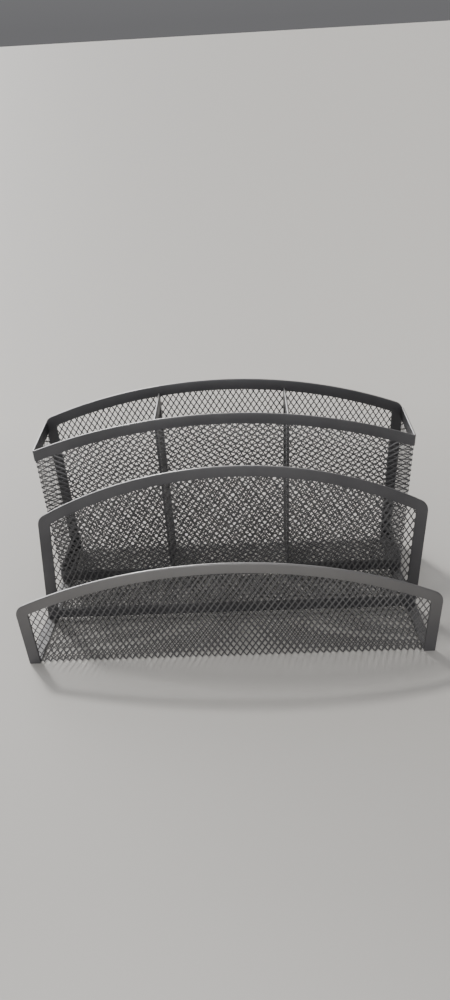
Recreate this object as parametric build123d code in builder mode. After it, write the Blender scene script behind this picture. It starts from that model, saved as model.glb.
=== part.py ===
from build123d import *
from math import sqrt
import os

# Desktop file sorter in folded steel mesh: two upright file slots in front of a box with three bins.
# Every mesh edge is gripped by a strip of sheet steel folded over it, which makes the rims and rails.

os.makedirs("parts", exist_ok=True)

# ---- driving dimensions, mm -------------------------------------------------------------------------
# X runs across the sorter, Y from front to back, Z up. The origin is the centre of the footprint, on the
# desk. Depths along Y are counted from the front face and shifted by half the depth at the end.
DEPTH = 147.0

STRIP_FACE = 9.0        # visible width of the strip folded over every mesh edge
STRIP_THICK = 2.0       # the folded strip, outside to outside
WALL = 0.6              # steel of the strip
SHEET = 0.8             # room for the mesh between the strip's two walls
EDGE_GAP = 0.5          # the mesh stops this far from the strip's fold
RAIL_HEIGHT = 10.0      # bottom rails are a little taller than the rims

MIDDLE_Y = 49.0         # front face of the middle panel
BOX_Y = 97.0            # front face of the box
BACK_Y = DEPTH - STRIP_THICK

# Each upright panel is a rectangle with an arched top: half its width, the height where it starts, the
# height of its square corners, the height of the arch's crown, and the corners' radius. The middle
# panel's left leg leans in a little: lean is how far its corner stands inside its foot.
FRONT = dict(half_width=160.0, base=0.0, corner=58.0, crown=95.0, radius=12.0)
MIDDLE = dict(half_width=155.0, base=STRIP_THICK, corner=105.5, crown=146.0, radius=12.0, lean=11.0)
BACK = dict(half_width=152.0, base=0.0, corner=141.0, crown=171.0, radius=10.0)

BOX_HALF = 152.6        # outside of the box's rim
BOX_CORNER = 137.5      # the rim's level sides
BOX_CROWN = 164.5       # the rim's arched front
BEND = 1.5              # outside radius where the box's strips turn the corner

DIVIDER_X = 52.0        # middle of each partition
DIVIDER_TOP = 161.0
DIVIDER_FACE = 8.0

# ---- worked out from the dimensions above -----------------------------------------------------------
FLOOR_BOTTOM = WALL
FLOOR_TOP = WALL + SHEET
SHEET_INSET = WALL + EDGE_GAP
BOX_FRONT_SLOT = BOX_Y + WALL
PAST_DESK = 2 * STRIP_THICK      # carries a cut below the desk line


def depth_plane(depth):
    """An upright plane facing the front, at this depth behind the front face."""
    return Plane.XZ.offset(DEPTH / 2 - depth)


def panel_face(half_width, base, corner, crown, radius, lean=0.0, inset=0.0, skirt=0.0):
    """A panel's outline moved in by inset, after its straight bottom edge is lowered by skirt."""
    with BuildSketch() as face:
        with BuildLine():
            Polyline(
                (lean - half_width, corner),
                (-half_width, base - skirt),
                (half_width, base - skirt),
                (half_width, corner),
            )
            ThreePointArc((half_width, corner), (lean / 2, crown), (lean - half_width, corner))
        make_face()
        fillet(face.vertices().sort_by(Axis.Y)[-2:], radius)
        if inset:
            offset(amount=-inset, mode=Mode.REPLACE)
    return face.sketch


def box_arch(drop):
    """Three points of the box front's arch, lowered by drop all along."""
    rise = BOX_CROWN - BOX_CORNER
    arch_radius = (BOX_HALF**2 + rise**2) / (2 * rise)
    centre = BOX_CROWN - arch_radius
    end = centre + sqrt((arch_radius - drop) ** 2 - BOX_HALF**2)
    return (-BOX_HALF, end), (0, BOX_CROWN - drop), (BOX_HALF, end)


def arched_band(upper_drop, lower_drop):
    """The stretch of the box's front between two parallel arches."""
    left, top, right = box_arch(upper_drop)
    low_left, low_top, low_right = box_arch(lower_drop)
    with BuildSketch() as band:
        with BuildLine():
            ThreePointArc(left, top, right)
            Line(right, low_right)
            ThreePointArc(low_right, low_top, low_left)
            Line(low_left, left)
        make_face()
    return band.sketch


def box_wall_plan(outer_inset, inner_inset, back_end=BACK_Y, bend=0.0):
    """Plan of the box's front and two sides, between two insets from the rim's outside."""
    back = back_end - DEPTH / 2
    front = BOX_Y - DEPTH / 2
    outer_half = BOX_HALF - outer_inset
    inner_half = BOX_HALF - inner_inset
    with BuildSketch() as plan:
        with BuildLine():
            Polyline(
                (-outer_half, back),
                (-outer_half, front + outer_inset),
                (outer_half, front + outer_inset),
                (outer_half, back),
                (inner_half, back),
                (inner_half, front + inner_inset),
                (-inner_half, front + inner_inset),
                (-inner_half, back),
                close=True,
            )
        make_face()
        if bend:
            fillet(plan.vertices().group_by(Axis.Y)[0], bend)
    return plan.sketch


def floor_side(depth):
    """Half the floor's width at this depth: it narrows from the front panel to the box."""
    taper = (FRONT["half_width"] - BOX_HALF) / BOX_Y
    return FRONT["half_width"] - taper * min(depth, BOX_Y)


def base_strip_plan(side, inset, width, front_end, back_end):
    """Plan of a strip along one side of the floor: side is -1 for left and +1 for right."""
    outer = []
    inner = []
    for depth in (front_end, BOX_Y, back_end):
        edge = floor_side(depth) - inset
        outer.append((side * edge, depth - DEPTH / 2))
        inner.append((side * (edge - width), depth - DEPTH / 2))
    with BuildSketch() as plan:
        with BuildLine():
            Polyline(*outer, *reversed(inner), close=True)
        make_face()
    return plan.sketch


# ---- body sheet: front panel, floor and back panel in one piece of mesh -----------------------------
floor_front = WALL
floor_back = DEPTH - WALL
corner_notch = STRIP_THICK + EDGE_GAP
notch_half_front = FRONT["half_width"] - STRIP_FACE
notch_half_back = BACK["half_width"] - STRIP_FACE

with BuildPart() as body_sheet:
    with BuildSketch(depth_plane(WALL)):
        add(panel_face(**FRONT, inset=SHEET_INSET, skirt=SHEET_INSET - FLOOR_BOTTOM))
    extrude(amount=-SHEET)
    with BuildSketch(depth_plane(BACK_Y + WALL)):
        add(panel_face(**BACK, inset=SHEET_INSET, skirt=SHEET_INSET - FLOOR_BOTTOM))
    extrude(amount=-SHEET)
    with BuildSketch(Plane.XY.offset(FLOOR_BOTTOM)):
        with BuildLine():
            right_edge = [
                (notch_half_front, floor_front),
                (notch_half_front, corner_notch),
                (floor_side(corner_notch) - SHEET_INSET, corner_notch),
                (floor_side(BOX_Y) - SHEET_INSET, BOX_Y),
                (floor_side(BOX_Y) - SHEET_INSET, DEPTH - corner_notch),
                (notch_half_back, DEPTH - corner_notch),
                (notch_half_back, floor_back),
            ]
            outline = [(x, y - DEPTH / 2) for x, y in right_edge]
            outline += [(-x, y - DEPTH / 2) for x, y in reversed(right_edge)]
            Polyline(*outline, close=True)
        make_face()
    extrude(amount=SHEET)
body_sheet.part.label = "body_sheet"
export_step(body_sheet.part, "parts/body_sheet.step")


# ---- rims of the front and back panels: two legs and an arch, open at the desk ----------------------
with BuildPart() as front_rim:
    with BuildSketch(depth_plane(0)):
        add(panel_face(**FRONT))
        add(panel_face(**FRONT, inset=STRIP_FACE, skirt=STRIP_FACE + PAST_DESK), mode=Mode.SUBTRACT)
    extrude(amount=-STRIP_THICK)
    with BuildSketch(depth_plane(WALL)):
        add(panel_face(**FRONT, inset=WALL, skirt=PAST_DESK))
    extrude(amount=-SHEET, mode=Mode.SUBTRACT)
front_rim.part.label = "front_rim"
export_step(front_rim.part, "parts/front_rim.step")

with BuildPart() as back_rim:
    with BuildSketch(depth_plane(BACK_Y)):
        add(panel_face(**BACK))
        add(panel_face(**BACK, inset=STRIP_FACE, skirt=STRIP_FACE + PAST_DESK), mode=Mode.SUBTRACT)
    extrude(amount=-STRIP_THICK)
    with BuildSketch(depth_plane(BACK_Y + WALL)):
        add(panel_face(**BACK, inset=WALL, skirt=PAST_DESK))
    extrude(amount=-SHEET, mode=Mode.SUBTRACT)
back_rim.part.label = "back_rim"
export_step(back_rim.part, "parts/back_rim.step")


# ---- strips along the floor's two sides -------------------------------------------------------------
for name, side in (("left_base_strip", -1), ("right_base_strip", 1)):
    with BuildPart() as base_strip:
        with BuildSketch(Plane.XY):
            add(base_strip_plan(side, 0, STRIP_FACE, STRIP_THICK, BACK_Y))
        extrude(amount=STRIP_THICK)
        with BuildSketch(Plane.XY.offset(FLOOR_BOTTOM)):
            add(base_strip_plan(side, WALL, STRIP_FACE, 0, DEPTH))
        extrude(amount=SHEET, mode=Mode.SUBTRACT)
    base_strip.part.label = name
    export_step(base_strip.part, f"parts/{name}.step")


# ---- middle panel: mesh in a full frame that stands on the base strips ------------------------------
with BuildPart() as middle_sheet:
    with BuildSketch(depth_plane(MIDDLE_Y + WALL)):
        add(panel_face(**MIDDLE, inset=SHEET_INSET))
    extrude(amount=-SHEET)
middle_sheet.part.label = "middle_sheet"
export_step(middle_sheet.part, "parts/middle_sheet.step")

with BuildPart() as middle_frame:
    with BuildSketch(depth_plane(MIDDLE_Y)):
        add(panel_face(**MIDDLE))
        opening_skirt = STRIP_FACE - RAIL_HEIGHT
        add(panel_face(**MIDDLE, inset=STRIP_FACE, skirt=opening_skirt), mode=Mode.SUBTRACT)
    extrude(amount=-STRIP_THICK)
    with BuildSketch(depth_plane(MIDDLE_Y + WALL)):
        add(panel_face(**MIDDLE, inset=WALL))
    extrude(amount=-SHEET, mode=Mode.SUBTRACT)
middle_frame.part.label = "middle_frame"
export_step(middle_frame.part, "parts/middle_frame.step")


# ---- box: folded mesh, arched rim and bottom rail ---------------------------------------------------
box_bottom = STRIP_THICK
box_sheet_bottom = box_bottom + SHEET_INSET
box_sheet_side_top = BOX_CORNER - SHEET_INSET
box_side_length = BACK_Y - BOX_Y - STRIP_THICK
box_side_middle = BACK_Y - DEPTH / 2 - box_side_length / 2

with BuildPart() as box_sheet:
    with BuildSketch(Plane.XY.offset(box_sheet_bottom)):
        add(box_wall_plan(WALL, WALL + SHEET))
    extrude(amount=box_sheet_side_top - box_sheet_bottom)
    with BuildSketch(depth_plane(BOX_FRONT_SLOT)):
        add(arched_band(SHEET_INSET, RAIL_HEIGHT + BOX_CROWN - BOX_CORNER))
        Rectangle(2 * (BOX_HALF - WALL), 2 * BOX_CROWN, mode=Mode.INTERSECT)
    extrude(amount=-SHEET)
box_sheet.part.label = "box_sheet"
export_step(box_sheet.part, "parts/box_sheet.step")

with BuildPart() as box_rim:
    with BuildSketch(depth_plane(BOX_Y)):
        add(arched_band(0, STRIP_FACE))
    extrude(amount=-STRIP_THICK)
    with BuildSketch(Plane.XY):
        add(box_wall_plan(0, STRIP_THICK, bend=BEND))
    extrude(amount=BOX_CROWN, mode=Mode.INTERSECT)
    with BuildSketch(Plane.XY.offset(BOX_CORNER - STRIP_FACE)):
        for side in (-1, 1):
            with Locations((side * (BOX_HALF - STRIP_THICK / 2), box_side_middle)):
                Rectangle(STRIP_THICK, box_side_length)
    extrude(amount=STRIP_FACE)
    with BuildSketch(Plane.XY.offset(BOX_CORNER - 2 * STRIP_FACE)):
        for side in (-1, 1):
            with Locations((side * (BOX_HALF - STRIP_THICK / 2), box_side_middle)):
                Rectangle(SHEET, box_side_length + STRIP_THICK)
    extrude(amount=2 * STRIP_FACE - WALL, mode=Mode.SUBTRACT)
    with BuildSketch(depth_plane(BOX_FRONT_SLOT)):
        add(arched_band(WALL, 2 * STRIP_FACE))
        Rectangle(2 * (BOX_HALF - WALL), 2 * BOX_CROWN, mode=Mode.INTERSECT)
    extrude(amount=-SHEET, mode=Mode.SUBTRACT)
box_rim.part.label = "box_rim"
export_step(box_rim.part, "parts/box_rim.step")

with BuildPart() as box_bottom_rail:
    with BuildSketch(Plane.XY.offset(box_bottom)):
        add(box_wall_plan(0, STRIP_THICK, bend=BEND))
    extrude(amount=RAIL_HEIGHT)
    with BuildSketch(Plane.XY.offset(box_bottom + WALL)):
        add(box_wall_plan(WALL, WALL + SHEET, DEPTH))
    extrude(amount=RAIL_HEIGHT, mode=Mode.SUBTRACT)
box_bottom_rail.part.label = "box_bottom_rail"
export_step(box_bottom_rail.part, "parts/box_bottom_rail.step")


# ---- two partitions in the box, each mesh in a full frame -------------------------------------------
divider_front = BOX_Y + STRIP_THICK
divider_length = BACK_Y - divider_front
divider_height = DIVIDER_TOP - FLOOR_TOP
divider_middle = ((divider_front + BACK_Y - DEPTH) / 2, FLOOR_TOP + divider_height / 2)

for name, side in (("left_divider", -1), ("right_divider", 1)):
    with BuildPart() as divider_sheet:
        with BuildSketch(Plane.YZ.offset(side * DIVIDER_X - SHEET / 2)):
            with Locations(divider_middle):
                Rectangle(divider_length - 2 * SHEET_INSET, divider_height - 2 * SHEET_INSET)
        extrude(amount=SHEET)
    divider_sheet.part.label = f"{name}_sheet"
    export_step(divider_sheet.part, f"parts/{name}_sheet.step")

    with BuildPart() as divider_frame:
        with BuildSketch(Plane.YZ.offset(side * DIVIDER_X - STRIP_THICK / 2)):
            with Locations(divider_middle):
                Rectangle(divider_length, divider_height)
                Rectangle(
                    divider_length - 2 * DIVIDER_FACE,
                    divider_height - 2 * DIVIDER_FACE,
                    mode=Mode.SUBTRACT,
                )
        extrude(amount=STRIP_THICK)
        with BuildSketch(Plane.YZ.offset(side * DIVIDER_X - SHEET / 2)):
            with Locations(divider_middle):
                Rectangle(divider_length - 2 * WALL, divider_height - 2 * WALL)
        extrude(amount=SHEET, mode=Mode.SUBTRACT)
    divider_frame.part.label = f"{name}_frame"
    export_step(divider_frame.part, f"parts/{name}_frame.step")
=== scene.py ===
# %% [markdown]
# A desktop file sorter in dark grey steel mesh
#
# The real sorter is made from two things only. One is expanded metal: a thin sheet is cut with rows of
# short slits and pulled sideways, so that every slit opens into a diamond. The other is sheet steel cut
# in narrow strips. Every cut edge of the mesh is sharp, so a strip is folded over it, like a hem. This
# lesson builds the mesh first, then the strips, then the paint, and last the light and the camera.
#
# The sizes come from a fixed frame, which is the sorter's design model. It is loaded here, and its parts
# tell each new piece where to stand.

# %% Load the frame
from math import asin, atan2, cos, degrees, pi, radians, sin, sqrt

import bpy
from mathutils import Matrix, Vector


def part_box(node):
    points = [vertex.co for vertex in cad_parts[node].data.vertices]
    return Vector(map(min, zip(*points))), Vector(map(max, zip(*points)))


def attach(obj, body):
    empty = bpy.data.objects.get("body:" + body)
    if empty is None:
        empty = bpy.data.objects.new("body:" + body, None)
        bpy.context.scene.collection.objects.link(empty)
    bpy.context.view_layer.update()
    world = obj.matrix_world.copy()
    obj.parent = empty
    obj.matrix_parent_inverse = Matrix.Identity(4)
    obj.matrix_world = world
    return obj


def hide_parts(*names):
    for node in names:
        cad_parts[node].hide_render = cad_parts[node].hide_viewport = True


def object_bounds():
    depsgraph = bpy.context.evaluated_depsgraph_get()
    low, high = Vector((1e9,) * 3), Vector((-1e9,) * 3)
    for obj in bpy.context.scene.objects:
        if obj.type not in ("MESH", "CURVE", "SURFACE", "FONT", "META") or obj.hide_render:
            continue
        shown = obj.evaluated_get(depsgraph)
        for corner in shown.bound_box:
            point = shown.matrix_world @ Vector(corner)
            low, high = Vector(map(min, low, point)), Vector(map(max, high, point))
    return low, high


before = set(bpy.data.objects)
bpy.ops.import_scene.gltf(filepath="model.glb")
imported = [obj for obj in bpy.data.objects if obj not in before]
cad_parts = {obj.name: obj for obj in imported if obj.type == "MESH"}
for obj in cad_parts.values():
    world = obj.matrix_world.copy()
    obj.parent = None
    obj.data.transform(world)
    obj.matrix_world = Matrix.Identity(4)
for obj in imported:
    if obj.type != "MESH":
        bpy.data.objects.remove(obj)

design_low, design_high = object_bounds()
bpy.ops.object.select_all(action="DESELECT")
print("design box, mm:", [round(1000 * v) for v in (design_high - design_low)])

# %% [markdown]
# Measures
#
# Blender counts in metres and a metalworker counts in millimetres, so MM turns one into the other. The
# widths and heights are read from the frame, part by part. Only what the frame can't tell is written as
# a number: how thick the steel is, how wide a strip's face is, and how far down an arch springs from.

# %% Measures of the strips and the panels
MM = 0.001
STRIP_FACE = 9 * MM
STRIP_THICK = 2 * MM
STRIP_STEEL = 0.6 * MM
FOLD_RADIUS = STRIP_THICK / 2


def arched_panel(part, corner_height, corner_radius, lean=0.0):
    """A panel's outline as a dictionary. lean is how far the left leg's corner stands inside its foot."""
    low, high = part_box(part)
    half_span = high.x - lean / 2
    rise = high.z - corner_height
    arch_radius = (half_span**2 + rise**2) / (2 * rise)
    arch_centre = Vector((lean / 2, high.z - arch_radius))
    to_corner = arch_radius - corner_radius

    right_x = high.x - corner_radius
    right_angle = asin((right_x - arch_centre.x) / to_corner)
    right_corner = arch_centre + to_corner * Vector((sin(right_angle), cos(right_angle)))

    lean_angle = atan2(lean, corner_height - low.z)
    climb = Vector((sin(lean_angle), cos(lean_angle)))
    inwards = Vector((cos(lean_angle), -sin(lean_angle)))
    foot = Vector((low.x, low.z))
    offset = foot + corner_radius * inwards - arch_centre
    along = offset.dot(climb)
    leg_length = sqrt(along**2 - offset.length_squared + to_corner**2) - along
    left_corner = foot + corner_radius * inwards + leg_length * climb
    left_angle = asin((arch_centre.x - left_corner.x) / to_corner)
    return dict(
        half_width=high.x,
        base=low.z,
        crown=high.z,
        middle_y=(low.y + high.y) / 2,
        corner_radius=corner_radius,
        arch_radius=arch_radius,
        arch_centre=arch_centre,
        right_corner=right_corner,
        right_angle=right_angle,
        left_corner=left_corner,
        left_angle=left_angle,
        lean_angle=lean_angle,
        climb=climb,
        inwards=inwards,
        foot=foot,
        leg_length=leg_length,
    )


FRONT = arched_panel("front_rim", corner_height=58 * MM, corner_radius=12 * MM)
MIDDLE = arched_panel("middle_frame", corner_height=105.5 * MM, corner_radius=12 * MM, lean=11 * MM)
BACK = arched_panel("back_rim", corner_height=141 * MM, corner_radius=10 * MM)
for name, panel in (("front", FRONT), ("middle", MIDDLE), ("back", BACK)):
    width = 2 * panel["half_width"] / MM
    arch_turn = degrees(panel["left_angle"] + panel["right_angle"])
    crown = panel["crown"] / MM
    print(f"{name} panel: {width:.0f} mm wide, {crown:.0f} mm high, arch of {arch_turn:.0f} degrees")

# %% [markdown]
# Helpers for working by hand in code
#
# In the viewport you would press Tab, pick some faces and press a key. In a script the same tools are
# there, but nothing may be left picked from before: a tool acts on all that is selected. So each helper
# below enters edit mode, selects by a plain test on a point's place, and only then calls the tool.

# %% Select by place, and measure a piece
def activate(piece):
    """Makes this the only selected object, and the active one."""
    if bpy.context.mode != "OBJECT":
        bpy.ops.object.mode_set(mode="OBJECT")
    bpy.ops.object.select_all(action="DESELECT")
    piece.select_set(True)
    bpy.context.view_layer.objects.active = piece


def pick(piece, kind, test):
    """In edit mode, selects only the vertices, edges or faces whose middle passes the test."""
    activate(piece)
    bpy.ops.object.mode_set(mode="EDIT")
    bpy.ops.mesh.select_mode(type=kind)
    bpy.ops.mesh.select_all(action="DESELECT")
    bpy.ops.object.mode_set(mode="OBJECT")
    mesh = piece.data
    if kind == "VERT":
        chosen = [test(v.co) for v in mesh.vertices]
        mesh.vertices.foreach_set("select", chosen)
    elif kind == "EDGE":
        points = [v.co for v in mesh.vertices]
        chosen = [test((points[e.vertices[0]] + points[e.vertices[1]]) / 2) for e in mesh.edges]
        mesh.edges.foreach_set("select", chosen)
    else:
        chosen = [test(f.center) for f in mesh.polygons]
        mesh.polygons.foreach_set("select", chosen)
    bpy.ops.object.mode_set(mode="EDIT")
    return sum(chosen)


def turn(angle, axis, centre):
    """Turns what is selected, by the right-hand rule. With no window the tool turns backwards."""
    bpy.ops.transform.rotate(value=-angle, orient_axis=axis, center_override=centre)


def apply_modifier(piece, kind, **settings):
    """Adds a modifier, sets it up and applies it at once."""
    activate(piece)
    modifier = piece.modifiers.new(kind.title(), kind)
    for setting, value in settings.items():
        setattr(modifier, setting, value)
    bpy.ops.object.modifier_apply(modifier=modifier.name)


def join(pieces, name):
    """Joins several objects into the first one."""
    activate(pieces[0])
    for piece in pieces[1:]:
        piece.select_set(True)
    bpy.ops.object.join()
    pieces[0].name = name
    return pieces[0]


def settle(piece, name, smooth_angle=40):
    """Gives a finished piece its name and shading, puts its place in its mesh, and prints its size."""
    activate(piece)
    bpy.ops.object.transform_apply(location=True, rotation=True, scale=True)
    bpy.ops.object.shade_smooth_by_angle(angle=radians(smooth_angle))
    piece.name = name
    piece.data.name = name
    low = [min(v.co[axis] for v in piece.data.vertices) / MM for axis in range(3)]
    high = [max(v.co[axis] for v in piece.data.vertices) / MM for axis in range(3)]
    triangles = sum(len(f.vertices) - 2 for f in piece.data.polygons)
    spans = ", ".join(f"{a:.1f} to {b:.1f}" for a, b in zip(low, high))
    print(f"{name}: {triangles} triangles, box in mm {spans}")
    return piece


# %% [markdown]
# One diamond of the mesh
#
# Look closely at expanded metal and you see that it isn't a flat lace. Pulling the sheet open twists
# each strand, so one side of every diamond stands forward and the other side leans back. That twist is
# why strands that run one way shine and those that run the other way stay dark. A picture on a flat
# sheet could never show it, so the diamonds are real geometry here.
#
# A circle with four corners is already a diamond. Inset draws the hole's edge inside it, the middle face
# is deleted, and the ring that is left is half of each strand. Bevel blunts the hole's two long ends,
# where four strands meet in a solid knuckle. Then the hole's left corner is pulled forward and its right
# corner is pushed back, which gives the twist. The ring has only six faces, because a panel holds
# thousands of diamonds and each face is paid for thousands of times.

# %% Model the diamond
STRAND_HALF = 0.40 * MM
KNUCKLE_BLUNT = 0.38 * MM
TWIST = 0.40 * MM
STRAND_THICK = 0.36 * MM
TINY = 0.02 * MM
WELL_INSIDE = 0.499


def diamond(width, height, twist=TWIST):
    """One ring of the mesh, upright and facing the front, with its middle at the origin."""
    bpy.ops.mesh.primitive_circle_add(vertices=4, radius=1, fill_type="NGON", rotation=(pi / 2, 0, 0))
    ring = bpy.context.object
    bpy.ops.object.transform_apply(location=True, rotation=True, scale=True)
    bpy.ops.object.mode_set(mode="EDIT")
    bpy.ops.mesh.select_all(action="SELECT")
    bpy.ops.transform.resize(value=(width / 2, 1, height / 2))
    bpy.ops.mesh.inset(thickness=STRAND_HALF, use_even_offset=True)
    bpy.ops.mesh.delete(type="FACE")
    hole_x = max(abs(v.co.x) for v in inner_points(ring, width, height))
    hole_z = max(abs(v.co.z) for v in inner_points(ring, width, height))
    pick(ring, "VERT", lambda p: abs(p.x) < TINY and abs(abs(p.z) - hole_z) < TINY)
    bpy.ops.mesh.bevel(offset=KNUCKLE_BLUNT, segments=1, affect="VERTICES")
    for side in (-1, 1):
        pick(ring, "VERT", lambda p: abs(p.x - side * hole_x) < TINY and abs(p.z) < TINY)
        bpy.ops.transform.translate(value=(0, side * twist, 0))
    bpy.ops.object.mode_set(mode="OBJECT")
    return ring


def inner_points(ring, width, height):
    """The points of the hole's edge. On the diamond's own edge the two shares add up to half."""
    bpy.ops.object.mode_set(mode="OBJECT")
    return [v for v in ring.data.vertices if abs(v.co.x) / width + abs(v.co.z) / height < WELL_INSIDE]


sample = diamond(width=5 * MM, height=8.4 * MM)
print("one diamond has", len(sample.data.vertices), "points and", len(sample.data.polygons), "faces")
bpy.data.objects.remove(sample)

# %% [markdown]
# A sheet of diamonds
#
# The diamonds touch like tiles, in two sets shifted by half a diamond. An Array modifier repeats one
# shape at a steady step, so three of them make the sheet: one pairs a diamond with its shifted
# neighbour, one runs across and one runs up. Merging the doubles joins the strands at the knuckles.

# %% Repeat the diamond over a rectangle
def mesh_sheet(width, height, columns, rows, left, bottom, depth, twist=TWIST, lying=False):
    """A flat upright sheet of diamonds. Its first diamond's middle stands at left, depth and bottom."""
    if lying:
        sheet = diamond(height, width, twist)
        pick(sheet, "VERT", lambda p: True)
        turn(pi / 2, "Y", (0, 0, 0))
        bpy.ops.object.mode_set(mode="OBJECT")
    else:
        sheet = diamond(width, height, twist)
    steps = ((2, (width / 2, 0, height / 2)), (columns, (width, 0, 0)), (rows, (0, 0, height)))
    for count, step in steps:
        apply_modifier(
            sheet,
            "ARRAY",
            count=count,
            use_relative_offset=False,
            use_constant_offset=True,
            constant_offset_displace=step,
        )
    activate(sheet)
    bpy.ops.object.mode_set(mode="EDIT")
    bpy.ops.mesh.select_all(action="SELECT")
    bpy.ops.mesh.remove_doubles(threshold=TINY)
    bpy.ops.transform.translate(value=(left, depth, bottom))
    bpy.ops.object.mode_set(mode="OBJECT")
    return sheet


def trim(sheet, keep):
    """Deletes the faces of the sheet whose middle doesn't pass the test."""
    cut = pick(sheet, "FACE", lambda p: not keep(p))
    bpy.ops.mesh.delete(type="FACE")
    bpy.ops.object.mode_set(mode="OBJECT")
    return cut


def inside_panel(panel, inset, p):
    """True for a point that is at least this far inside an arched panel's outline."""
    point = Vector((p.x, p.z))
    if p.x > panel["half_width"] - inset or (point - panel["foot"]).dot(panel["inwards"]) < inset:
        return False
    from_left = point - panel["left_corner"]
    from_right = point - panel["right_corner"]
    past_left = from_left.dot(panel["inwards"]) < 0 and from_left.dot(panel["climb"]) > 0
    past_right = from_right.x > 0 and from_right.y > 0
    if past_left or past_right:
        from_corner = from_left if past_left else from_right
        return from_corner.length < panel["corner_radius"] - inset
    return (point - panel["arch_centre"]).length < panel["arch_radius"] - inset


def press_flat(sheet, gripped, depth):
    """Squeezes the twist out of the strands that a folded strip grips."""
    pick(sheet, "VERT", gripped)
    bpy.ops.transform.resize(value=(1, GRIPPED_TWIST, 1), center_override=(0, depth, 0))
    bpy.ops.object.mode_set(mode="OBJECT")


def thicken(sheet, name):
    """Gives the sheet its steel thickness, half to each side, and finishes it."""
    apply_modifier(sheet, "SOLIDIFY", thickness=STRAND_THICK, offset=0)
    return settle(sheet, name, smooth_angle=STRAND_SMOOTH_ANGLE)


STRAND_SMOOTH_ANGLE = 25
GRIP_DEPTH = 3.0 * MM
GRIPPED_TWIST = 0.3
HEM_OVERLAP = 0.6 * MM
HEM_INSIDE = STRIP_FACE - HEM_OVERLAP

# %% [markdown]
# The front panel and the floor
#
# On the real sorter one sheet comes down the front, turns under and runs back as the floor. The turn
# has no strip: it is only a fold, and the fold falls on a row of knuckles, so from the front the lower
# edge is a fine zigzag. That is easy to copy. The floor is first drawn as more of the same flat sheet,
# hanging below the fold line, and then everything under the line is turned back by a quarter turn.
#
# The diamond's height is set so that a whole number of half diamonds fills the floor from the front
# fold to the back one. Seen from above, the floor is a little narrower at the box than at the front, so
# the sheet is drawn in by the same share, row by row, before it is folded.

# %% Front panel and floor in one folded sheet
FRONT_PITCH = (5.03 * MM, 8.4 * MM)
FOLD_HEIGHT = 1.0 * MM

box_low, box_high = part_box("box_rim")
front_y = FRONT["middle_y"]
back_y = BACK["middle_y"]
floor_length = back_y - front_y
narrowing = 1 - box_high.x / FRONT["half_width"]
taper_length = box_low.y - design_low.y


def share_of_width(behind_front):
    """The floor's width at this distance behind the front face, as a share of its width there."""
    return 1 - narrowing * min(1, max(0, behind_front) / taper_length)


half_rows_of_floor = 2 * round(floor_length / FRONT_PITCH[1])
body_height = 2 * floor_length / half_rows_of_floor
body_columns = 2 * int(FRONT["half_width"] / FRONT_PITCH[0]) + 3
body_rows = int((FRONT["crown"] + floor_length) / body_height) + 3
floor_rows = half_rows_of_floor // 2

front_floor = mesh_sheet(
    FRONT_PITCH[0],
    body_height,
    body_columns,
    body_rows,
    -(body_columns - 1) / 2 * FRONT_PITCH[0],
    FOLD_HEIGHT - floor_rows * body_height,
    front_y,
)


def stays_in_front_floor(p):
    """True inside the front panel's outline, or on the floor between its two side strips."""
    if p.z > FOLD_HEIGHT:
        return inside_panel(FRONT, GRIP_DEPTH, p)
    if p.z < FOLD_HEIGHT - floor_length:
        return False
    return abs(p.x) < FRONT["half_width"] - GRIP_DEPTH


def gripped_in_front_floor(p):
    """True where the strips of the front panel and of the floor's sides hold the sheet."""
    if p.z > FOLD_HEIGHT:
        return not inside_panel(FRONT, HEM_INSIDE, p)
    return abs(p.x) > FRONT["half_width"] - HEM_INSIDE


trimmed = trim(front_floor, stays_in_front_floor)
press_flat(front_floor, gripped_in_front_floor, front_y)
for half_row in range(1, half_rows_of_floor + 1):
    row_z = FOLD_HEIGHT - half_row * body_height / 2
    behind = half_row * body_height / 2 + front_y - design_low.y
    middle_share = share_of_width(behind)
    pick(front_floor, "VERT", lambda p: abs(p.z - row_z) < body_height / 4 - TINY)
    bpy.ops.transform.resize(value=(middle_share, 1, 1), center_override=(0, 0, 0))
pick(front_floor, "VERT", lambda p: p.z < FOLD_HEIGHT - TINY)
turn(pi / 2, "X", (0, front_y, FOLD_HEIGHT))
front_floor = thicken(front_floor, "front_and_floor_mesh")
print("faces trimmed off the front and floor:", trimmed)

# %% [markdown]
# The back panel
#
# The same sheet turns up again behind the floor. It has been folded over twice by then, so what faces
# you is its other side, and the twist runs the other way. The diamonds of its lowest row start exactly
# where the floor's last knuckles are.

# %% Back panel
BACK_DIAMOND_HEIGHT = 7.9 * MM

back_width = FRONT_PITCH[0] * share_of_width(design_high.y - design_low.y)
back_columns = 2 * int(BACK["half_width"] / back_width) + 3
back_rows = int(BACK["crown"] / BACK_DIAMOND_HEIGHT) + 2
back_mesh = mesh_sheet(
    back_width,
    BACK_DIAMOND_HEIGHT,
    back_columns,
    back_rows,
    -(back_columns - 1) / 2 * back_width,
    FOLD_HEIGHT,
    back_y,
    twist=-TWIST,
)
trim(back_mesh, lambda p: p.z > FOLD_HEIGHT and inside_panel(BACK, GRIP_DEPTH, p))
press_flat(back_mesh, lambda p: not inside_panel(BACK, HEM_INSIDE, p), back_y)
back_mesh = thicken(back_mesh, "back_mesh")

# %% [markdown]
# The middle panel
#
# It is a flat sheet in a closed frame, so it is trimmed all round. Its diamonds are a little narrower and
# taller than the front's: each sheet is pulled open by its own amount.

# %% Middle panel
MIDDLE_PITCH = (4.75 * MM, 8.8 * MM)
RAIL_FACE = 10 * MM

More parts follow.
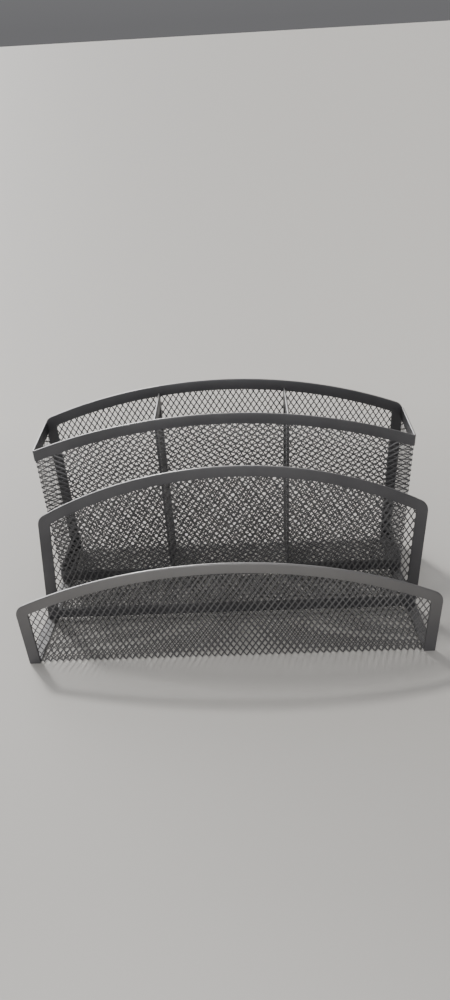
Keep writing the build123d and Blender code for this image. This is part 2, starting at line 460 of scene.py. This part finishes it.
middle_y = MIDDLE["middle_y"]
middle_columns = 2 * int(MIDDLE["half_width"] / MIDDLE_PITCH[0]) + 3
middle_rows = int(MIDDLE["crown"] / MIDDLE_PITCH[1]) + 2
middle_mesh = mesh_sheet(
    *MIDDLE_PITCH,
    middle_columns,
    middle_rows,
    -(middle_columns - 1) / 2 * MIDDLE_PITCH[0],
    MIDDLE["base"],
    middle_y,
)
trim(middle_mesh, lambda p: p.z > MIDDLE["base"] + GRIP_DEPTH and inside_panel(MIDDLE, GRIP_DEPTH, p))
press_flat(
    middle_mesh,
    lambda p: p.z < MIDDLE["base"] + RAIL_FACE or not inside_panel(MIDDLE, HEM_INSIDE, p),
    middle_y,
)
middle_mesh = thicken(middle_mesh, "middle_mesh")

# %% [markdown]
# The box
#
# The box is one sheet too, bent round two corners, and here the diamonds lie on their sides. They are
# made upright and turned by a quarter turn. As with the floor, the sheet is drawn flat and wide, and a
# column of knuckles falls on each corner, so nothing has to be cut there. Then each side is turned back.
# The far edges are cut straight by bisect, where they meet the back panel.

# %% Box front and sides in one bent sheet
BOX_PITCH = (8.5 * MM, 4.92 * MM)
BOX_SIDE_TOP = 137.5 * MM
SHEET_ROOM = 0.8 * MM

box_sheet_low, box_sheet_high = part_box("box_sheet")
box_corner_x = box_sheet_high.x - SHEET_ROOM / 2
box_front_y = box_sheet_low.y + SHEET_ROOM / 2
box_back_y = box_sheet_high.y
box_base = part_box("box_bottom_rail")[0].z
box_rise = box_high.z - BOX_SIDE_TOP
box_arch_radius = (box_high.x**2 + box_rise**2) / (2 * box_rise)
box_arch_centre = box_high.z - box_arch_radius

half_columns_of_front = round(4 * box_corner_x / BOX_PITCH[0])
box_width = 4 * box_corner_x / half_columns_of_front
side_columns = int((box_back_y - box_front_y) / box_width) + 2
box_columns = half_columns_of_front // 2 + 2 * side_columns + 1
box_rows = int(box_high.z / BOX_PITCH[1]) + 1
box_mesh = mesh_sheet(
    box_width,
    BOX_PITCH[1],
    box_columns,
    box_rows,
    -box_corner_x - side_columns * box_width,
    box_base,
    box_front_y,
    lying=True,
)


def inside_box_wall(p, inset, bottom_inset):
    """True inside the box's unfolded wall: under the arch in front, and under a level edge at the sides."""
    if p.z < box_base + bottom_inset:
        return False
    if abs(p.x) > box_corner_x:
        return p.z < BOX_SIDE_TOP - inset
    return p.x**2 + (p.z - box_arch_centre) ** 2 < (box_arch_radius - inset) ** 2


trim(box_mesh, lambda p: inside_box_wall(p, GRIP_DEPTH, GRIP_DEPTH))
press_flat(box_mesh, lambda p: not inside_box_wall(p, HEM_INSIDE, RAIL_FACE), box_front_y)
for side in (-1, 1):
    pick(box_mesh, "VERT", lambda p: side * p.x > box_corner_x + TINY)
    turn(side * pi / 2, "Z", (side * box_corner_x, box_front_y, 0))
pick(box_mesh, "FACE", lambda p: True)
bpy.ops.mesh.bisect(plane_co=(0, box_back_y, 0), plane_no=(0, 1, 0), clear_outer=True)
box_mesh = thicken(box_mesh, "box_mesh")

# %% [markdown]
# The two partitions
#
# Each is a tall narrow sheet in a frame of its own, standing from front to back in the box. It is drawn
# facing the front like the others, turned to face the side, and carried to its place.

# %% Partition sheets
DIVIDER_PITCH = (4.9 * MM, 8.4 * MM)
DIVIDER_FACE = 8 * MM


def divider_sheet(frame_part, name):
    """One partition's mesh, trimmed to its frame."""
    low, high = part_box(frame_part)
    middle = (low + high) / 2
    columns = int((high.y - low.y) / DIVIDER_PITCH[0]) + 1
    rows = int((high.z - low.z) / DIVIDER_PITCH[1]) + 1
    reach = (high.y - low.y) / 2
    sheet = mesh_sheet(*DIVIDER_PITCH, columns, rows, -columns / 2 * DIVIDER_PITCH[0], low.z, 0)
    trim(sheet, lambda p: abs(p.x) < reach - GRIP_DEPTH and low.z + GRIP_DEPTH < p.z < high.z - GRIP_DEPTH)
    hem = DIVIDER_FACE - HEM_OVERLAP
    press_flat(sheet, lambda p: abs(p.x) > reach - hem or not low.z + hem < p.z < high.z - hem, 0)
    pick(sheet, "VERT", lambda p: True)
    turn(pi / 2, "Z", (0, 0, 0))
    bpy.ops.transform.translate(value=(middle.x, middle.y, 0))
    bpy.ops.object.mode_set(mode="OBJECT")
    return thicken(sheet, name)


left_divider_mesh = divider_sheet("left_divider_frame", "left_divider_mesh")
right_divider_mesh = divider_sheet("right_divider_frame", "right_divider_mesh")

# %% [markdown]
# The folded strips
#
# A strip is made as the metalworker makes it: flat steel folded to a U over the mesh's edge, then led
# round the panel. The U is half of a circle, for the fold, with its two ends drawn out into lips. That
# line is extruded up a leg, spun round the corner, spun along the arch, round the other corner and down
# again. Spin is the right tool for every round stretch, because it turns the line about a centre and
# leaves the new end selected, ready for the next move. Last, Solidify gives the strip its thickness
# inwards, so that the outside keeps its size, and leaves the slot that the mesh stands in.

# %% Helpers for the strips
FOLD_POINTS = 16
CORNER_STEPS = 8
ARCH_STEPS = 48
CIRCLE_TURNS = {"X": (0, pi / 2, 0), "Y": (pi / 2, 0, 0), "Z": (0, 0, 0)}


def draw_out(x=0, y=0, z=0):
    """Extrudes what is selected and leaves the new end selected."""
    bpy.ops.mesh.extrude_region_move(TRANSFORM_OT_translate={"value": (x, y, z)})


def spin_round(angle, axis, centre, steps):
    """Spins what is selected by the right-hand rule. The tool itself counts backwards."""
    bpy.ops.mesh.spin(steps=steps, angle=-angle, center=centre, axis=axis)


def folded_line(travel, centre, lips, face):
    """The strip's U seen end on, ready to travel along X, Y or Z: a half circle and two lips."""
    bpy.ops.mesh.primitive_circle_add(
        vertices=FOLD_POINTS,
        radius=FOLD_RADIUS,
        location=centre,
        rotation=CIRCLE_TURNS[travel],
    )
    strip = bpy.context.object
    bpy.ops.object.transform_apply(location=True, rotation=True, scale=True)
    along = Vector(lips)
    middle = Vector(centre)
    pick(strip, "VERT", lambda p: (p - middle).dot(along) > TINY)
    bpy.ops.mesh.delete(type="VERT")
    pick(strip, "VERT", lambda p: (p - middle).dot(along) > -TINY)
    draw_out(*(along * (face - FOLD_RADIUS)))
    bpy.ops.mesh.select_all(action="SELECT")
    return strip


def give_steel(strip, outside):
    """Turns the strip's faces outwards and thickens it inwards. outside is a point well off the fold."""
    bpy.ops.mesh.select_all(action="SELECT")
    bpy.ops.mesh.remove_doubles(threshold=TINY)
    bpy.ops.mesh.normals_make_consistent(inside=False)
    bpy.ops.object.mode_set(mode="OBJECT")
    target = Vector(outside)
    nearest = min(strip.data.polygons, key=lambda f: (f.center - target).length)
    if nearest.normal.dot(target - nearest.center) < 0:
        bpy.ops.object.mode_set(mode="EDIT")
        bpy.ops.mesh.flip_normals()
        bpy.ops.object.mode_set(mode="OBJECT")
    apply_modifier(strip, "SOLIDIFY", thickness=STRIP_STEEL, offset=-1)


# %% [markdown]
# The strips of the three upright panels
#
# The front and the back strip are open at the foot, where the sheet turns into the floor. The middle
# panel stands on the floor on an edge of its own, so it has a rail along the foot as well, a separate
# length of strip with its fold downwards, butted between the two legs. Its left leg isn't quite upright:
# it leans in, so its U is tilted before it is drawn out, and bisect cuts its foot level.

# %% Strips round the upright panels
def upright(point, panel):
    """A point of a panel's outline as a place in the room."""
    return (point.x, panel["middle_y"], point.y)


def arched_strip(panel):
    """A strip that climbs the left leg, follows the arch and comes down the right leg."""
    middle = panel["middle_y"]
    foot = panel["foot"]
    tilt = panel["lean_angle"]
    start = upright(foot + Vector((FOLD_RADIUS, 0)), panel)
    strip = folded_line("Z", start, (1, 0, 0), STRIP_FACE)
    spare = STRIP_THICK if tilt else 0
    turn(tilt, "Y", upright(foot, panel))
    bpy.ops.transform.translate(value=(-spare * sin(tilt), 0, -spare * cos(tilt)))
    climb = panel["climb"] * (panel["leg_length"] + spare)
    draw_out(x=climb.x, z=climb.y)
    quarter = pi / 2
    bends = (
        (quarter - panel["left_angle"] - tilt, panel["left_corner"], CORNER_STEPS),
        (panel["left_angle"] + panel["right_angle"], panel["arch_centre"], ARCH_STEPS),
        (quarter - panel["right_angle"], panel["right_corner"], CORNER_STEPS),
    )
    for angle, centre, steps in bends:
        spin_round(angle, (0, 1, 0), upright(centre, panel), steps)
    draw_out(z=panel["base"] - panel["right_corner"].y)
    if tilt:
        bpy.ops.mesh.select_all(action="SELECT")
        bpy.ops.mesh.bisect(plane_co=(0, 0, panel["base"]), plane_no=(0, 0, 1), clear_inner=True)
    give_steel(strip, (0, middle, 2 * panel["crown"]))
    return strip


def foot_rail(panel):
    """A level strip between the legs, with its fold downwards. Its left end follows the leg's lean."""
    reach = panel["half_width"] - STRIP_FACE
    middle = panel["middle_y"]
    rail = folded_line("X", (-reach, middle, panel["base"] + FOLD_RADIUS), (0, 0, 1), RAIL_FACE)
    draw_out(x=2 * reach)
    pick(rail, "VERT", lambda p: p.x < 0)
    turn(panel["lean_angle"], "Y", (-reach, middle, panel["base"]))
    give_steel(rail, (0, middle, -1))
    return rail


front_strip = settle(arched_strip(FRONT), "front_strip")
back_strip = settle(arched_strip(BACK), "back_strip")
middle_strip = settle(join([arched_strip(MIDDLE), foot_rail(MIDDLE)], "middle_strip"), "middle_strip")

# %% [markdown]
# The box's rim and its foot rail
#
# The foot rail is level: it runs forward along the left side, turns the corner, crosses the front and
# runs back. It turns about its own inner face, so its inside corner stays sharp and nothing overlaps.
#
# The rim is harder, because it is arched in front and level at the sides. So it starts at the crown of
# the arch: the U is turned back about the arch's centre, past the corner, and then spun forward through
# the whole arch. Bisect cuts both ends upright, and each cut end is spun round its corner and drawn
# back along the side.

# %% Strips round the box
OVERSHOOT = radians(1.5)

rim_half = box_high.x
rim_front = box_low.y
rim_middle = rim_front + FOLD_RADIUS
turn_x = rim_half - STRIP_THICK
turn_y = rim_front + STRIP_THICK
side_length = box_high.y - turn_y


def box_rail():
    """The level strip round the foot of the box."""
    centre = (-rim_half + FOLD_RADIUS, box_high.y, box_base + FOLD_RADIUS)
    rail = folded_line("Y", centre, (0, 0, 1), RAIL_FACE)
    draw_out(y=-side_length)
    spin_round(pi / 2, (0, 0, 1), (-turn_x, turn_y, 0), CORNER_STEPS)
    draw_out(x=2 * turn_x)
    spin_round(pi / 2, (0, 0, 1), (turn_x, turn_y, 0), CORNER_STEPS)
    draw_out(y=side_length)
    give_steel(rail, (0, rim_middle, -1))
    return rail


def box_rim():
    """The strip along the top of the box: an arch in front, and a level side each way."""
    half_angle = asin(rim_half / (box_arch_radius - STRIP_FACE)) + OVERSHOOT
    centre = (0, rim_middle, box_arch_centre)
    rim = folded_line("X", (0, rim_middle, box_high.z - FOLD_RADIUS), (0, 0, -1), STRIP_FACE)
    turn(-half_angle, "Y", centre)
    spin_round(2 * half_angle, (0, 1, 0), centre, ARCH_STEPS)
    for side in (-1, 1):
        bpy.ops.mesh.select_all(action="SELECT")
        bpy.ops.mesh.bisect(plane_co=(side * turn_x, 0, 0), plane_no=(side, 0, 0), clear_outer=True)
    for side in (-1, 1):
        pick(rim, "VERT", lambda p: side * p.x > turn_x - TINY)
        spin_round(side * pi / 2, (0, 0, 1), (side * turn_x, turn_y, 0), CORNER_STEPS)
        draw_out(y=side_length)
    give_steel(rim, (0, rim_middle, 1))
    return rim


box_rail_strip = settle(box_rail(), "box_rail_strip")
box_rim_strip = settle(box_rim(), "box_rim_strip")

# %% [markdown]
# The strips along the floor
#
# They lie flat on the desk with their folds outwards, and bend a little where the floor stops narrowing.

# %% Strips along the floor's sides
def floor_strip(side, part, name):
    """One flat strip along the floor: side is -1 for the left and 1 for the right."""
    low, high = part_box(part)
    outer_x = side * max(abs(low.x), abs(high.x))
    inward = design_low.y + taper_length
    drawn_in = outer_x - side * box_high.x
    strip = folded_line(
        "Y",
        (outer_x - side * FOLD_RADIUS, low.y, FOLD_HEIGHT),
        (-side, 0, 0),
        STRIP_FACE,
    )
    draw_out(x=-drawn_in, y=inward - low.y)
    draw_out(y=high.y - inward)
    give_steel(strip, (2 * outer_x, 0, FOLD_HEIGHT))
    return settle(strip, name)


left_floor_strip = floor_strip(-1, "left_base_strip", "left_floor_strip")
right_floor_strip = floor_strip(1, "right_base_strip", "right_floor_strip")

# %% [markdown]
# The partition frames
#
# A small closed frame needs no spin. A plane is inset and its middle deleted, which leaves a flat ring
# with mitred corners. The ring is copied to the frame's other face, the two outer edges are bridged,
# and a bevel rounds the two long folds.

# %% Frames of the two partitions
FOLD_ROUNDING = 0.9 * MM
FOLD_SEGMENTS = 3


def divider_strip(part, name):
    """A closed frame of folded strip, standing from front to back."""
    low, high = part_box(part)
    middle = (low + high) / 2
    bpy.ops.mesh.primitive_plane_add(size=1, location=(low.x, middle.y, middle.z), rotation=(0, -pi / 2, 0))
    ring = bpy.context.object
    bpy.ops.object.transform_apply(location=True, rotation=True, scale=True)
    bpy.ops.object.mode_set(mode="EDIT")
    bpy.ops.mesh.select_all(action="SELECT")
    size = high - low
    bpy.ops.transform.resize(value=(1, size.y, size.z), center_override=(low.x, middle.y, middle.z))
    bpy.ops.mesh.inset(thickness=DIVIDER_FACE, use_even_offset=True)
    bpy.ops.mesh.delete(type="FACE")
    bpy.ops.mesh.select_all(action="SELECT")
    bpy.ops.mesh.duplicate_move(TRANSFORM_OT_translate={"value": (size.x, 0, 0)})
    at_edge = size / 2 - Vector((0, TINY, TINY))
    pick(ring, "EDGE", lambda p: abs(p.y - middle.y) > at_edge.y or abs(p.z - middle.z) > at_edge.z)
    bpy.ops.mesh.bridge_edge_loops()
    bpy.ops.mesh.select_all(action="SELECT")
    bpy.ops.mesh.normals_make_consistent(inside=False)

    def on_long_fold(p):
        at_rim = abs(p.y - middle.y) > at_edge.y or abs(p.z - middle.z) > at_edge.z
        return abs(p.x - middle.x) > TINY and at_rim

    pick(ring, "EDGE", on_long_fold)
    bpy.ops.mesh.bevel(offset=FOLD_ROUNDING, segments=FOLD_SEGMENTS, affect="EDGES")
    give_steel(ring, (middle.x, middle.y, 1))
    return settle(ring, name)


left_divider_strip = divider_strip("left_divider_frame", "left_divider_strip")
right_divider_strip = divider_strip("right_divider_frame", "right_divider_strip")

# %% [markdown]
# The paint
#
# All of the steel wears one finish: a dark graphite powder coat, sprayed on dry and baked. It is satin,
# not glossy, and close up it has a very fine orange peel. One flat colour would look like plastic. So
# three faint patterns are laid over each other, all read from the object's own coordinates, so that they
# stay on the steel: cloudy patches a few centimetres wide, where the coat is a little thicker, a change
# of gloss on the scale of a fingertip, and the orange peel itself, as a bump less than a tenth of a
# millimetre high. Dust settles on whatever faces upwards, and lightens it by a breath.
#
# Two more layers are painted light, not wear. The front panel looks lighter than the rest, so its coat is
# painted lighter and more metallic towards its top: a painted sheen that stands in for the light on it.
# And the upper folds of the strips show a bright line, strongest on the left, which a satin coat alone
# doesn't give. So the folds whose normals point up and a little to the left are painted as bright bare
# steel: a painted highlight, which also mirrors the window.
#
# The strips and the mesh share the recipe. The mesh has less of the painted sheen and none of the
# painted highlight, so it gets its own numbers.

# %% Helpers for the paint
def new_material(name):
    """A material with its nodes, its shader and its object coordinates."""
    material = bpy.data.materials.new(name)
    material.use_nodes = True
    nodes = material.node_tree.nodes
    shader = nodes["Principled BSDF"]
    place = nodes.new("ShaderNodeTexCoord")
    return material, nodes, material.node_tree.links, shader, place.outputs["Object"]


def noise(nodes, links, place, size, detail):
    """A noise whose patches are about this wide, in metres. Returns the output between 0 and 1."""
    pattern = nodes.new("ShaderNodeTexNoise")
    pattern.inputs["Scale"].default_value = 1 / size
    pattern.inputs["Detail"].default_value = detail
    links.new(place, pattern.inputs["Vector"])
    return pattern.outputs["Fac"]


def spread(nodes, links, value, low, high, new_low, new_high):
    """Stretches a value from one range to another."""
    stretch = nodes.new("ShaderNodeMapRange")
    for socket, number in (("From Min", low), ("From Max", high), ("To Min", new_low), ("To Max", new_high)):
        stretch.inputs[socket].default_value = number
    links.new(value, stretch.inputs["Value"])
    return stretch.outputs["Result"]


def blend_colours(nodes, links, share, first, second):
    """Mixes two colours, each a value or another node's output, by a share between 0 and 1."""
    mix = nodes.new("ShaderNodeMix")
    mix.data_type = "RGBA"
    links.new(share, mix.inputs["Factor"])
    for socket, colour in (("A", first), ("B", second)):
        target = next(i for i in mix.inputs if i.name == socket and i.type == "RGBA")
        if isinstance(colour, tuple):
            target.default_value = (*colour, 1)
        else:
            links.new(colour, target)
    return next(o for o in mix.outputs if o.type == "RGBA")


def combine(nodes, links, operation, first, second):
    """Works on two values with a Math node, such as MULTIPLY or MAXIMUM."""
    math = nodes.new("ShaderNodeMath")
    math.operation = operation
    links.new(first, math.inputs[0])
    links.new(second, math.inputs[1])
    return math.outputs["Value"]


def toward(nodes, links, direction, way):
    """How nearly a direction agrees with a fixed way: 1 when they are the same."""
    agree = nodes.new("ShaderNodeVectorMath")
    agree.operation = "DOT_PRODUCT"
    links.new(direction, agree.inputs[0])
    agree.inputs[1].default_value = way
    return agree.outputs["Value"]


def split(nodes, links, vector):
    """The three parts of a vector, as outputs named X, Y and Z."""
    parts = nodes.new("ShaderNodeSeparateXYZ")
    links.new(vector, parts.inputs["Vector"])
    return parts.outputs


# %% Numbers of the coat
CLOUD_SIZE = 35 * MM
CLOUD_CONTRAST = (0.35, 0.65)
DUST_PATCH_SIZE = 6 * MM
DUST_CONTRAST = (0.35, 0.7)
LEAST_DUST = 0.35
GLOSS_PATCH_SIZE = 11 * MM
GLOSS_CONTRAST = (0.3, 0.7)
PEEL_SIZE = 0.9 * MM
PEEL_STRENGTH = 0.5
DUST = (0.30, 0.29, 0.27)
DUSTY_UPWARD = (0.35, 1.0)
# Painted sheen: the next four numbers paint the coat near the front lighter and more metallic towards the
# top.
PAINTED_SHEEN = (0.27, 0.265, 0.262)
PAINTED_SHEEN_DEPTHS = (-70 * MM, -45 * MM)
PAINTED_SHEEN_HEIGHTS = (0 * MM, 85 * MM)
PAINTED_SHEEN_METAL = 0.95
# Painted highlight: the next four numbers paint bright bare steel on folds that face up and a little left.
PAINTED_HIGHLIGHT_STEEL = (0.72, 0.71, 0.70)
PAINTED_HIGHLIGHT_WAY = Vector((-0.28, 0.05, 0.96)).normalized()
PAINTED_HIGHLIGHT_RANGE = (0.80, 0.97)
PAINTED_HIGHLIGHT_HEIGHTS = (15 * MM, 45 * MM)
COAT_METAL = 0.25
COAT_SPECULAR = 0.5
print("patches in mm: clouds", CLOUD_SIZE / MM, "dust", DUST_PATCH_SIZE / MM, "peel", PEEL_SIZE / MM)


# %% Mix the coat
def graphite(name, thin, thick, dust_share, painted_sheen_share, painted_highlight_share, gloss, peel_height):
    """Satin graphite coat: its two shades, its dust, its painted sheen and painted highlight, its roughness
    and its peel.
    """
    material, nodes, links, shader, place = new_material(name)
    cloud_noise = noise(nodes, links, place, CLOUD_SIZE, detail=3)
    clouds = spread(nodes, links, cloud_noise, *CLOUD_CONTRAST, 0, 1)
    coat = blend_colours(nodes, links, clouds, thin, thick)

    normal = nodes.new("ShaderNodeNewGeometry").outputs["Normal"]
    upward = spread(nodes, links, split(nodes, links, normal)["Z"], *DUSTY_UPWARD, 0, dust_share)
    patch_noise = noise(nodes, links, place, DUST_PATCH_SIZE, detail=4)
    patches = spread(nodes, links, patch_noise, *DUST_CONTRAST, LEAST_DUST, 1)
    settled = combine(nodes, links, "MULTIPLY", upward, patches)
    dusty = blend_colours(nodes, links, settled, coat, DUST)

    # Painted sheen: the coat near the front is painted lighter and more metallic towards the top, as painted
    # light.
    where = split(nodes, links, place)
    at_front = spread(nodes, links, where["Y"], *PAINTED_SHEEN_DEPTHS, 1, 0)
    high_up = spread(nodes, links, where["Z"], *PAINTED_SHEEN_HEIGHTS, 0, painted_sheen_share)
    painted_sheen_mask = combine(nodes, links, "MULTIPLY", at_front, high_up)
    coat_with_painted_sheen = blend_colours(nodes, links, painted_sheen_mask, dusty, PAINTED_SHEEN)

    # Painted highlight: folds facing up and a little to the left are painted bright bare steel.
    painted_highlight_on_folds = spread(nodes, links, toward(nodes, links, normal, PAINTED_HIGHLIGHT_WAY), *PAINTED_HIGHLIGHT_RANGE, 0, painted_highlight_share)
    off_desk = spread(nodes, links, where["Z"], *PAINTED_HIGHLIGHT_HEIGHTS, 0, 1)
    painted_highlight_mask = combine(nodes, links, "MULTIPLY", painted_highlight_on_folds, off_desk)
    coat_with_painted_light = blend_colours(nodes, links, painted_highlight_mask, coat_with_painted_sheen, PAINTED_HIGHLIGHT_STEEL)
    links.new(coat_with_painted_light, shader.inputs["Base Color"])

    # The painted sheen and the painted highlight are also painted as more metallic.
    metal_with_painted_sheen = spread(nodes, links, painted_sheen_mask, 0, 1, COAT_METAL, PAINTED_SHEEN_METAL)
    metallic = combine(nodes, links, "MAXIMUM", metal_with_painted_sheen, painted_highlight_mask)
    links.new(metallic, shader.inputs["Metallic"])
    gloss_noise = noise(nodes, links, place, GLOSS_PATCH_SIZE, detail=3)
    satin = spread(nodes, links, gloss_noise, *GLOSS_CONTRAST, *gloss)
    links.new(satin, shader.inputs["Roughness"])
    shader.inputs["Specular IOR Level"].default_value = COAT_SPECULAR

    peel = nodes.new("ShaderNodeBump")
    peel.inputs["Distance"].default_value = peel_height
    peel.inputs["Strength"].default_value = PEEL_STRENGTH
    links.new(noise(nodes, links, place, PEEL_SIZE, detail=1), peel.inputs["Height"])
    links.new(peel.outputs["Normal"], shader.inputs["Normal"])
    return material


# %% Mix one coat for the strips and one for the mesh
strip_paint = graphite(
    "graphite_coat_on_strip",
    thin=(0.100, 0.099, 0.104),
    thick=(0.080, 0.079, 0.084),
    dust_share=0.35,
    # A painted sheen near the front's top, and a painted highlight on the upper folds.
    painted_sheen_share=0.65,
    painted_highlight_share=0.9,
    gloss=(0.34, 0.48),
    peel_height=0.06 * MM,
)
mesh_paint = graphite(
    "graphite_coat_on_mesh",
    thin=(0.125, 0.124, 0.126),
    thick=(0.085, 0.084, 0.087),
    dust_share=0.30,
    # A faint painted sheen, and no painted highlight.
    painted_sheen_share=0.15,
    painted_highlight_share=0,
    gloss=(0.30, 0.46),
    peel_height=0.04 * MM,
)
print("materials:", strip_paint.name, "and", mesh_paint.name)

# %% [markdown]
# Hang each piece on the frame
#
# Every new piece takes the place of a part of the design model, which is then hidden. Nothing on this
# sorter moves, so all of it rides on one body.

# %% Paint the pieces and let them stand for the design's parts
STANDS_FOR = {
    front_floor: ("mesh_steel", "body_sheet"),
    back_mesh: ("mesh_steel", "body_sheet"),
    middle_mesh: ("mesh_steel", "middle_sheet"),
    box_mesh: ("mesh_steel", "box_sheet"),
    left_divider_mesh: ("mesh_steel", "left_divider_sheet"),
    right_divider_mesh: ("mesh_steel", "right_divider_sheet"),
    front_strip: ("rim_steel", "front_rim"),
    back_strip: ("rim_steel", "back_rim"),
    middle_strip: ("rim_steel", "middle_frame"),
    box_rim_strip: ("rim_steel", "box_rim"),
    box_rail_strip: ("rim_steel", "box_bottom_rail"),
    left_floor_strip: ("rim_steel", "left_base_strip"),
    right_floor_strip: ("rim_steel", "right_base_strip"),
    left_divider_strip: ("rim_steel", "left_divider_frame"),
    right_divider_strip: ("rim_steel", "right_divider_frame"),
}
for piece, (slot, part) in STANDS_FOR.items():
    piece.data.materials.clear()
    piece.data.materials.append(mesh_paint if slot == "mesh_steel" else strip_paint)
    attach(piece, "root")
    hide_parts(part)
print(len(STANDS_FOR), "pieces stand for", len(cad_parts), "parts")

# %% [markdown]
# The desk
#
# A mesh is as much about what shows through it as about the steel, so the desk matters: it is plain,
# pale and matt, and it runs far back. Its colour is painted lighter towards the window: painted window
# light.

# %% Desk
DESK_SIZE = 60
# The desk is painted from DESK_NEAR to the lighter DESK_FAR towards the window: a painted pool of light.
DESK_NEAR = (0.475, 0.460, 0.435)
DESK_FAR = (0.73, 0.705, 0.66)
DESK_SHADES_FROM_TO = (-0.25, 0.35)
DESK_ROUGHNESS = 0.55

bpy.ops.mesh.primitive_plane_add(size=DESK_SIZE, location=(0, 0, 0))
desk = bpy.context.object
desk.name = "desk"
desk_material, nodes, links, shader, place = new_material("pale_matt_desk")
# Painted window light: the desk's colour gets lighter towards the back.
painted_window_light_share = spread(nodes, links, split(nodes, links, place)["Y"], *DESK_SHADES_FROM_TO, 0, 1)
desk_colour_with_painted_light = blend_colours(nodes, links, painted_window_light_share, DESK_NEAR, DESK_FAR)
links.new(desk_colour_with_painted_light, shader.inputs["Base Color"])
shader.inputs["Roughness"].default_value = DESK_ROUGHNESS
desk.data.materials.append(desk_material)
print("desk:", DESK_SIZE, "m square, left out of the piece")

# %% [markdown]
# The light
#
# The sorter stands in front of a window, which is behind it and to the left. Its light is made twice, once
# for each thing a window does. A sun lamp throws the shadows, and its angle of a few degrees softens them.
# A bright patch in the world, the pane, is what the steel mirrors: a lamp is too small to be seen as a
# line in a fold that is two millimetres thick. The room fills the faces that look at you. It is brighter
# overhead than at the sides, which is what parts the twisted strands into light ones and dark ones. A wide
# weak lamp in front stands for the bright wall behind your back.

# %% Window and room
CEILING = (1.08, 1.08, 1.10)
WALLS = (0.30, 0.30, 0.31)
CEILING_FROM = 0.9
ROOM_STRENGTH = 0.52
WINDOW_WAY = Vector((-0.33, 0.45, 0.83)).normalized()
WINDOW_ANGLE = radians(6)
WINDOW_COLOUR = (1.0, 0.985, 0.96)
WINDOW_STRENGTH = 1.6
PANE = (8.0, 8.1, 8.3)
PANE_WAY = Vector((-0.55, 0.72, 0.42)).normalized()
PANE_EDGE = radians(27)
PANE_HEART = radians(14)
FRONT_WAY = Vector((-0.06, -0.62, 0.26))
FRONT_SIZE = 0.35
FRONT_POWER = 1.3

world = bpy.data.worlds.new("room")
bpy.context.scene.world = world
world.use_nodes = True
nodes, links = world.node_tree.nodes, world.node_tree.links
way = nodes.new("ShaderNodeTexCoord").outputs["Generated"]
overhead = spread(nodes, links, split(nodes, links, way)["Z"], 0.0, CEILING_FROM, 0, 1)
room_colour = blend_colours(nodes, links, overhead, WALLS, CEILING)
in_pane = spread(nodes, links, toward(nodes, links, way, PANE_WAY), cos(PANE_EDGE), cos(PANE_HEART), 0, 1)
seen_colour = blend_colours(nodes, links, in_pane, room_colour, PANE)
links.new(seen_colour, nodes["Background"].inputs["Color"])
nodes["Background"].inputs["Strength"].default_value = ROOM_STRENGTH

bpy.ops.object.light_add(type="SUN", location=WINDOW_WAY)
window = bpy.context.object
window.name = "window"
window.data.angle = WINDOW_ANGLE
window.data.energy = WINDOW_STRENGTH
window.data.color = WINDOW_COLOUR
window.rotation_euler = (-WINDOW_WAY).to_track_quat("-Z", "Y").to_euler()

bpy.ops.object.light_add(type="AREA", location=FRONT_WAY)
front_wall = bpy.context.object
front_wall.name = "front_wall"
front_wall.data.size = FRONT_SIZE
front_wall.data.energy = FRONT_POWER
front_wall.rotation_euler = (-FRONT_WAY).to_track_quat("-Z", "Y").to_euler()
print(f"window light: {degrees(asin(WINDOW_WAY.z)):.0f} degrees above the desk")

# %% [markdown]
# The camera
#
# It looks down from the front, about half a metre away, and is rolled by a few degrees, as when it is
# held in the hand. Its three directions are worked out from a heading, a tilt and a roll.

# %% Camera
CAMERA_PLACE = Vector((16.9, -464.0, 415.0)) * MM
HEADING = radians(-2.07)
TILT_DOWN = radians(34.16)
ROLL = radians(-3.40)
LENS = 25.43

forward = Vector((sin(HEADING) * cos(TILT_DOWN), cos(HEADING) * cos(TILT_DOWN), -sin(TILT_DOWN)))
level_right = Vector((cos(HEADING), -sin(HEADING), 0))
level_up = level_right.cross(forward)
right = level_right * cos(ROLL) + level_up * sin(ROLL)
up = level_up * cos(ROLL) - level_right * sin(ROLL)

bpy.ops.object.camera_add()
camera = bpy.context.object
camera.name = "camera"
camera.data.lens = LENS
camera.matrix_world = Matrix.LocRotScale(
    CAMERA_PLACE,
    Matrix((right, up, -forward)).transposed(),
    Vector((1, 1, 1)),
)
bpy.context.scene.camera = camera
print(f"camera: {CAMERA_PLACE.length / MM:.0f} mm from the sorter's foot, lens {LENS} mm")
